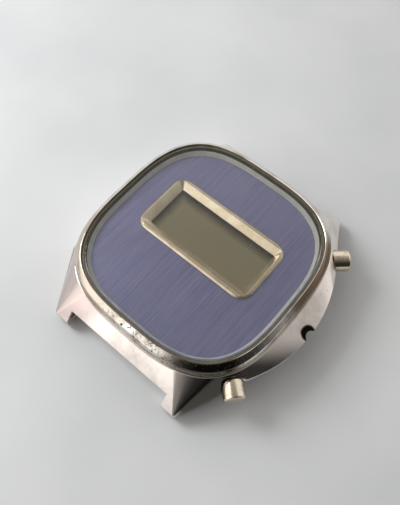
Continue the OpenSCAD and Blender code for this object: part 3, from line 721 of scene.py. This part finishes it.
# Crystal
crystal = {
    "out": 0.69,
    "under": 8.0,
    "underIn": 0.2,  # from the edge to the first ring under it
    "top": 8.9,
    "topIn": 0.5,  # and to the last ring on top
    "chamfer": 0.15,
    "softEdge": 0.04,
    "smooth": 25,
}
crystalRows = rounded([
    (crystal["out"] - crystal["underIn"], crystal["under"]),
    (crystal["out"], crystal["under"]),
    (crystal["out"], crystal["top"] - crystal["chamfer"]),
    (crystal["out"] - crystal["chamfer"], crystal["top"]),
    (crystal["out"] - crystal["topIn"], crystal["top"]),
], crystal["softEdge"])
crystalPiece = ringGrid("crystalPane", crystalRows, watch["sides"], onOutline, capped=True)
smoothEdges(crystalPiece, crystal["smooth"])
dress(crystalPiece, "crystal_glass")
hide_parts("crystal")

# Crystal's gasket
gasket = {
    "seam": 0.6,
    "seatIn": 0.45,  # the crystal rests on a seat from here to the wall
    "wall": (0.72, 1.05),
    "footZ": 7.7,
    "seatZ": 8.0,
    "topZ": 8.7,
    "softEdge": 0.06,
}
gasketRows = rounded([
    (gasket["seam"], gasket["footZ"]),
    (gasket["seatIn"], gasket["footZ"]),
    (gasket["seatIn"], gasket["seatZ"]),
    (gasket["wall"][0], gasket["seatZ"]),
    (gasket["wall"][0], gasket["topZ"]),
    (gasket["wall"][1], gasket["topZ"]),
    (gasket["wall"][1], gasket["footZ"]),
    (gasket["seam"], gasket["footZ"]),
], gasket["softEdge"])
gasketPiece = ringGrid("crystalGasket", gasketRows, watch["sides"], onOutline)
smoothEdges(gasketPiece)
dress(gasketPiece, "nylon_gasket")
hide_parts("crystal_gasket")

# Flange ring, whose inner face leans out from the dial to the top
flange = {
    "seam": 0.2,
    "out": 0.42,
    "topIn": 0.35,
    "topZ": 7.95,
    "lip": 0.02,  # height of the edge that stands on the dial
    "softEdge": 0.03,
}
flangeRows = rounded([
    (flange["seam"], watch["dialZ"]),
    (flange["out"], watch["dialZ"]),
    (flange["out"], flange["topZ"]),
    (flange["topIn"], flange["topZ"]),
    (0, watch["dialZ"] + flange["lip"]),
    (0, watch["dialZ"]),
    (flange["seam"], watch["dialZ"]),
], flange["softEdge"])
flangePiece = ringGrid("flangeRing", flangeRows, watch["sides"], onOutline)
smoothEdges(flangePiece)
dress(flangePiece, "flange_steel")
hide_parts("flange_ring")
print("bezel, crystal, gasket and flange made")

# Window frame
windowFrame = {
    "sides": 64,
    "seam": 1.4,
    "bar": 1.7,  # from the opening to the outer edge
    "outerCorner": 0.4,  # radius of an outer corner past its distance from the opening
    "edgeZ": 7.4,
    "bevel": 0.325,
    "topZ": 7.6,
    "crest": 1.05,  # where the slope down to the opening starts
    "crestCorner": 0.65,
    "openingZ": 6.86,
    "underZ": 6.8,
    "tube": 1.07,  # the part below the dial reaches out to here
    "innerCorner": 0.03,
    "right": 0.35,  # how much further the opening reaches at 3 o'clock
    "softEdge": 0.06,
}


def onWindow(turn, reach, height, corner, right):
    # point of a round-cornered loop, reach past the opening and right more at 3 o'clock
    perCorner = windowFrame["sides"] // 4
    index = round(turn / math.tau * windowFrame["sides"]) % windowFrame["sides"]
    quarter, step = divmod(index, perCorner)
    angle = (quarter + step / (perCorner - 1)) * math.pi / 2
    wayX, wayY = quarters[quarter]
    (halfX, halfY), (atX, atY) = watch["windowHalf"], watch["windowAt"]
    x = atX + wayX * (halfX + reach - corner + max(0, wayX * right)) + corner * math.cos(angle)
    y = atY + wayY * (halfY + reach - corner) + corner * math.sin(angle)
    return Vector((x, y, height))


tight = windowFrame["innerCorner"]
rounder = windowFrame["outerCorner"]
bevelIn = windowFrame["bar"] - windowFrame["bevel"]
frameRows = rounded([
    (windowFrame["seam"], watch["dialZ"], windowFrame["seam"] + rounder, 0),
    (windowFrame["bar"], watch["dialZ"], windowFrame["bar"] + rounder, 0),
    (windowFrame["bar"], windowFrame["edgeZ"], windowFrame["bar"] + rounder, 0),
    (bevelIn, windowFrame["topZ"], bevelIn + rounder, 0),
    (windowFrame["crest"], windowFrame["topZ"], windowFrame["crestCorner"], 0),
    (0, windowFrame["openingZ"], tight, windowFrame["right"]),
    (0, windowFrame["underZ"], tight, windowFrame["right"]),
    (windowFrame["tube"], windowFrame["underZ"], tight, 0),
    (windowFrame["tube"], watch["dialZ"], tight, 0),
    (windowFrame["seam"], watch["dialZ"], windowFrame["seam"] + rounder, 0),
], windowFrame["softEdge"])
framePiece = ringGrid("windowFrame", frameRows, windowFrame["sides"], onWindow)
smoothEdges(framePiece)
dress(framePiece, "frame_champagne")
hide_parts("window_frame")
print("window frame made")

# Pushers. Their sections are radius and distance along the pusher, outwards from its root.
pusher = {
    "root": (15.65, 12.4, 4.5),
    "angle": 42,
    "head": 1.6,
    "out": 1.75,
    "face": ((0.7, 0.02), (1.2, 0), (1.42, 0.02), (1.55, 0.12)),  # radius, depth under out
    "sideDrop": 0.3,  # the head's side starts this far under out
    "groove": (-1.2, -0.83, 1.35),  # of the O-ring: its two ends and its floor's radius
    "inside": -1.35,
    "stem": 0.55,
    "clipGroove": (-3.61, -3.39, 0.4),
    "stemEnd": -4.35,
    "stemIn": 0.2,  # from the stem's side to the last ring on its end
    "softEdge": 0.05,
    "sides": 96,
    "smooth": 40,
}
grooveFrom, grooveTo, grooveFloor = pusher["groove"]
clipFrom, clipTo, clipFloor = pusher["clipGroove"]
pusherRows = rounded([
    *((radius, pusher["out"] - under) for radius, under in pusher["face"]),
    (pusher["head"], pusher["out"] - pusher["sideDrop"]),
    (pusher["head"], grooveTo),
    (grooveFloor, grooveTo),
    (grooveFloor, grooveFrom),
    (pusher["head"], grooveFrom),
    (pusher["head"], pusher["inside"]),
    (pusher["stem"], pusher["inside"]),
    (pusher["stem"], clipTo),
    (clipFloor, clipTo),
    (clipFloor, clipFrom),
    (pusher["stem"], clipFrom),
    (pusher["stem"], pusher["stemEnd"]),
    (pusher["stem"] - pusher["stemIn"], pusher["stemEnd"]),
], pusher["softEdge"])


def standAtPusher(piece, side):
    x, y, z = pusher["root"]
    layAlongX(piece, (x, side * y, z), side * pusher["angle"])


upperCap = ringGrid("upperPusherCap", pusherRows, pusher["sides"], onCircle, capped=True)
lowerCap = copyOf(upperCap, "lowerPusherCap")
for cap, side, body in ((upperCap, 1, "upper_pusher"), (lowerCap, -1, "lower_pusher")):
    standAtPusher(cap, side)
    smoothEdges(cap, pusher["smooth"])
    dress(cap, "pusher_chrome", body)
    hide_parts(body)
print("pushers made")

# Case back
caseBack = {
    "face": ((0.2, 0.05), (0.3, 0.05), (0.38, 0), (1.3, 0)),  # dished a little inside its rim
    "rim": ((1.35, 0), (1.6, 0.25), (1.6, 0.6)),
    "skirt": ((0.42, 0.6), (0.42, 1.35)),
    "bead": ((0.52, 1.35), (0.52, 1.55)),  # snaps into the case
    "skirtTop": ((0.42, 1.55), (0.42, 1.9), (-0.08, 1.9), (-0.08, 0.6)),
    "inside": ((-0.3, 0.6),),
    "softEdge": 0.04,
}
backRows = []
for stretch in ("face", "rim", "skirt", "bead", "skirtTop", "inside"):
    backRows.extend(caseBack[stretch])
backRows = rounded(backRows, caseBack["softEdge"])
backPiece = ringGrid("caseBack", backRows, watch["sides"], onOutline, capped=True)
smoothEdges(backPiece)
dress(backPiece, "back_steel")
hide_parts("case_back")
print("case back made")

# Mid case: a hull stretched over its loops, cut by its bores, then softened
case = {
    "reach": (19.4, 16.8),  # of the right side, over the pushers, and of the left side
    "sideRadius": (20.7, 57),
    "ridgeY": 11.8,
    "ridge": (5.05, 5.3),
    "undercut": (2.2, 0.2),  # how far the two sides draw in at the underside
    "under": 0.6,
    "stepOut": 2.25,
    "stepZ": 6.6,
    "slopeY": 16.1,
    "lug": (11.3, 19.6, 0.6),  # middle of a lug tip's rounding and its radius
    "lugZ": 2.0,
    "recess": (17.5, 4.0, 1.55),  # floor, height and radius
    "recessLength": 6,
    "neckOut": 1.05,
    "neckZ": 7.7,
    "plugIn": 0.8,  # first ring of the plug, inwards from the step
    "plugTop": 0.6,  # and its last ring
    "cavityOut": 0.45,
    "cavityIn": 0.2,
    "bead": (1.3, 1.6, 0.58),  # groove for the back's bead: its two heights and its reach
    "groove": (0.62, 1.18, 0.98),  # for the back's gasket: its two sides and its floor
    "toolZ": (-1, 9),  # heights that the upright cutters run between
    "strapHalf": 9.2,
    "strapRadius": 1.45,
    "strapSides": 128,
    "strapDepth": 5,  # of the block that opens a strap gap
    "overlap": 0.01,
    "barY": 18.8,
    "barZ": 2.2,
    "barRadius": 0.45,
    "barReach": 10.4,
    "barTip": 0.27,
    "barSides": 48,
    "bore": (-6.35, -1.35, 4),  # along the pusher: inner end, step and outer end
    "boreRadius": (1.85, 1.65),  # behind the step and in front of it
    "boreSides": 96,
    "coreRadius": 0.4,  # of the first and last ring of a round cutter
    "merge": 0.004,  # corners closer than this are joined before the edges are softened
    "flat": 0.3,  # faces that turn less than this are joined too
    "softEdge": 0.07,
    "softSteps": 3,
    "softAngle": 24,
}


def caseLoop(turn, kind, height, insets=(0, 0)):
    if kind == "side":  # both side arcs, each point where its arc faces turn
        left = math.cos(turn) < 0
        radius = case["sideRadius"][left]
        along = max(-case["ridgeY"], min(case["ridgeY"], radius * math.sin(turn)))
        reach = case["reach"][left] - insets[left] - radius + math.sqrt(radius**2 - along**2)
        return Vector((-reach if left else reach, along, height))
    if kind == "lug":  # the outer quarters of the four lug tips
        tipX, tipY, radius = case["lug"]
        wayX, wayY = quarters[int(turn / (math.pi / 2)) % 4]
        x = wayX * tipX + radius * math.cos(turn)
        y = wayY * tipY + radius * math.sin(turn)
        return Vector((x, y, height))
    spot = onOutline(turn, case["stepOut"], height)
    spot.y = max(-case["slopeY"], min(case["slopeY"], spot.y))
    return spot


casePiece = ringGrid("midCaseShell", [
    ("side", case["under"], case["undercut"]),
    ("side", case["ridge"][0]),
    ("side", case["ridge"][1]),
    ("step", case["stepZ"]),
    ("lug", case["lugZ"]),
    ("lug", case["under"]),
], watch["sides"], caseLoop)
bpy.ops.object.mode_set(mode="EDIT")
bpy.ops.mesh.select_all(action="SELECT")
bpy.ops.mesh.convex_hull(join_triangles=True)
bpy.ops.mesh.select_all(action="SELECT")
bpy.ops.mesh.normals_make_consistent(inside=False)
bpy.ops.object.mode_set(mode="OBJECT")

recessFloor, recessZ, recessRadius = case["recess"]
recess = ringGrid("recess", [
    (case["coreRadius"], 0),
    (recessRadius, 0),
    (recessRadius, case["recessLength"]),
    (case["coreRadius"], case["recessLength"]),
], case["boreSides"], onCircle, capped=True)
layAlongX(recess, (recessFloor, 0, recessZ))
cutAway(casePiece, recess)

# the plug adds the step under the bezel and the neck inside it
plug = ringGrid("stepPlug", [
    (case["stepOut"] - case["plugIn"], case["under"]),
    (case["stepOut"], case["under"]),
    (case["stepOut"], case["stepZ"]),
    (case["neckOut"], case["stepZ"]),
    (case["neckOut"], case["neckZ"]),
    (case["plugTop"], case["neckZ"]),
], watch["sides"], onOutline, capped=True)
cutAway(casePiece, plug, "UNION")

toolLow, toolHigh = case["toolZ"]
beadLow, beadHigh, beadOut = case["bead"]
cavity = ringGrid("cavity", [
    (case["cavityIn"], toolLow),
    (case["cavityOut"], toolLow),
    (case["cavityOut"], beadLow),
    (beadOut, beadLow),
    (beadOut, beadHigh),
    (case["cavityOut"], beadHigh),
    (case["cavityOut"], toolHigh),
    (case["cavityIn"], toolHigh),
], watch["sides"], onOutline, capped=True)
cutAway(casePiece, cavity)

grooveIn, grooveOut, grooveTop = case["groove"]
groove = ringGrid("groove", [
    (grooveIn, toolLow),
    (grooveOut, toolLow),
    (grooveOut, grooveTop),
    (grooveIn, grooveTop),
    (grooveIn, toolLow),
], watch["sides"], onOutline)
cutAway(casePiece, groove)

# Cutters that both ends share, made once at the origin. A strap gap is a round end over the
# spring bar and a block that opens it outwards and downwards.
deselectAll()
bpy.ops.mesh.primitive_cylinder_add(
    vertices=case["strapSides"], radius=case["strapRadius"] * mm,
    depth=2 * case["strapHalf"] * mm, rotation=(0, math.pi / 2, 0))
gapModel = bpy.context.object
deselectAll()
bpy.ops.mesh.primitive_cube_add(size=1)
blockModel = bpy.context.object
blockHeight = case["barZ"] - toolLow + 2 * case["overlap"]
blockModel.scale = (2 * case["strapHalf"] * mm, case["strapDepth"] * mm, blockHeight * mm)
barHoleModel = ringGrid("barHoleModel", [
    (0, -case["barReach"] - case["barTip"]),
    (case["barRadius"], -case["barReach"]),
    (case["barRadius"], case["barReach"]),
    (0, case["barReach"] + case["barTip"]),
], case["barSides"], onCircle)
boreFrom, boreStep, boreTo = case["bore"]
boreModel = ringGrid("boreModel", [
    (case["coreRadius"], boreFrom),
    (case["boreRadius"][0], boreFrom),
    (case["boreRadius"][0], boreStep),
    (case["boreRadius"][1], boreStep),
    (case["boreRadius"][1], boreTo),
    (case["coreRadius"], boreTo),
], case["boreSides"], onCircle, capped=True)

blockY = case["barY"] - case["strapRadius"] + case["strapDepth"] / 2
blockZ = (case["barZ"] + toolLow) / 2
for side in (1, -1):
    gap = copyOf(gapModel, "gap")
    gap.location = (0, side * case["barY"] * mm, case["barZ"] * mm)
    settle(gap)
    cutAway(casePiece, gap)
    block = copyOf(blockModel, "block")
    block.location = (0, side * blockY * mm, blockZ * mm)
    settle(block)
    cutAway(casePiece, block)
    barHole = copyOf(barHoleModel, "barHole")
    layAlongX(barHole, (0, side * case["barY"], case["barZ"]))
    cutAway(casePiece, barHole)
    bore = copyOf(boreModel, "bore")
    standAtPusher(bore, side)
    cutAway(casePiece, bore)
for model in (gapModel, blockModel, barHoleModel, boreModel):
    bpy.data.objects.remove(model)

pickOnly(casePiece)
bpy.ops.object.mode_set(mode="EDIT")
bpy.ops.mesh.select_all(action="SELECT")
bpy.ops.mesh.remove_doubles(threshold=case["merge"] * mm)
bpy.ops.mesh.dissolve_limited(angle_limit=math.radians(case["flat"]))
bpy.ops.object.mode_set(mode="OBJECT")
soften = casePiece.modifiers.new("soften", "BEVEL")
soften.width = case["softEdge"] * mm
soften.segments = case["softSteps"]
soften.limit_method = "ANGLE"
soften.angle_limit = math.radians(case["softAngle"])
soften.use_clamp_overlap = False
soften.harden_normals = False
bpy.ops.object.modifier_apply(modifier="soften")
smoothEdges(casePiece, case["softAngle"])
evenFaces = casePiece.modifiers.new("evenFaces", "WEIGHTED_NORMAL")
evenFaces.keep_sharp = True
bpy.ops.object.modifier_apply(modifier="evenFaces")
dress(casePiece, "case_chrome")
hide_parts("mid_case")
print("mid case made:", len(casePiece.data.polygons))

# Floor
floorLook = {
    "size": 3000,
    "colour": "#d5d9db",
    "tone": "#c8cccf",
    "fibres": 30,
    "toneAt": (0.3, 0.7),
    "roughness": 0.9,
    "shine": 0.1,
}
deselectAll()
bpy.ops.mesh.primitive_plane_add(size=floorLook["size"] * mm, location=(0, 0, 0))
floor = bpy.context.object
floor.name = "paperFloor"
# Paper: pale blue grey, matt, with wide faint clouds
paper, tree, place = newFinish("matt pale paper")
fibres = addNode(tree, "TexNoise", {
    "Vector": place, "Scale": 1 / (floorLook["fibres"] * mm), "Detail": 3})
tone = addNode(tree, "MapRange", {
    "Value": fibres, "From Min": floorLook["toneAt"][0], "From Max": floorLook["toneAt"][1]})
colour = addNode(tree, "Mix", {
    0: tone, 6: linear(floorLook["colour"]), 7: linear(floorLook["tone"])}, 2,
    data_type="RGBA")
shader = addNode(tree, "BsdfPrincipled", {
    "Base Color": colour, "Roughness": floorLook["roughness"],
    "Specular IOR Level": floorLook["shine"]})
addNode(tree, "OutputMaterial", {"Surface": shader})
floor.data.materials.append(paper)

# The world is a pale room: bright low down all round, greyer overhead, dark where the
# photographer stands. Its Generated coordinate is the direction looked in.
room = {
    "low": "#fff9f6",
    "lowStrength": 0.98,
    "high": "#a09d92",
    "highStrength": 1.0,
    "highAt": (0.7, 0.97),  # how far up one looks where the upper colour starts and is full
    # patches: azimuth and elevation, how wide they are full and where they end, and the
    # light in them against the rest of the room
    "patches": (
        ((-32, 12), (26, 87), 0.03),  # the photographer
        ((-112, 26), (18, 50), 1.8),  # a window
    ),
}


def wayTo(azimuth, elevation):
    azimuth, elevation = math.radians(azimuth), math.radians(elevation)
    return Vector((math.cos(azimuth) * math.cos(elevation),
                   math.sin(azimuth) * math.cos(elevation), math.sin(elevation)))


world = bpy.data.worlds.new("pale room")
bpy.context.scene.world = world
world.use_nodes = True
tree = world.node_tree
tree.nodes.clear()
way = addNode(tree, "TexCoord", out="Generated")
climb = addNode(tree, "SeparateXYZ", {0: way}, "Z")
climb = addNode(tree, "MapRange", {
    "Value": climb, "From Min": room["highAt"][0], "From Max": room["highAt"][1]},
    interpolation_type="SMOOTHSTEP")
colour = addNode(tree, "Mix", {
    0: climb, 6: linear(room["low"]), 7: linear(room["high"])}, 2, data_type="RGBA")
light = addNode(tree, "MapRange", {
    "Value": climb, "To Min": room["lowStrength"], "To Max": room["highStrength"]})
for middle, (full, gone), gain in room["patches"]:
    facing = addNode(tree, "VectorMath", {0: way, 1: wayTo(*middle)}, "Value",
                     operation="DOT_PRODUCT")
    patch = addNode(tree, "MapRange", {
        "Value": facing, "From Min": math.cos(math.radians(gone)),
        "From Max": math.cos(math.radians(full)), "To Min": 1, "To Max": gain},
        interpolation_type="SMOOTHSTEP")
    light = addNode(tree, "Math", {0: light, 1: patch}, operation="MULTIPLY")
shader = addNode(tree, "Background", {"Color": colour, "Strength": light})
addNode(tree, "OutputWorld", {"Surface": shader})

lamp = {"at": (192, 42), "distance": 200, "size": 80, "watts": 0.24}
deselectAll()
lampSpot = wayTo(*lamp["at"]) * lamp["distance"] * mm
bpy.ops.object.light_add(type="AREA", location=lampSpot)
softLamp = bpy.context.object
softLamp.data.size = lamp["size"] * mm
softLamp.data.energy = lamp["watts"]
softLamp.rotation_euler = (-lampSpot).to_track_quat("-Z", "Y").to_euler()

camera = {
    "at": (23.37, -28.39, 80.2),
    "towards": (-0.05, -0.77, 7.2),
    "lens": 39.92,
    "sensor": 36,
    "clip": (1, 10000),
}
bpy.ops.object.camera_add(location=Vector(camera["at"]) * mm)
view = bpy.context.object
aim = Vector(camera["towards"]) - Vector(camera["at"])
view.rotation_euler = aim.to_track_quat("-Z", "Y").to_euler()
view.data.lens = camera["lens"]
view.data.sensor_width = camera["sensor"]
view.data.clip_start = camera["clip"][0] * mm
view.data.clip_end = camera["clip"][1] * mm
bpy.context.scene.camera = view
bpy.context.scene.view_settings.view_transform = "Standard"
print("floor, light and camera set")
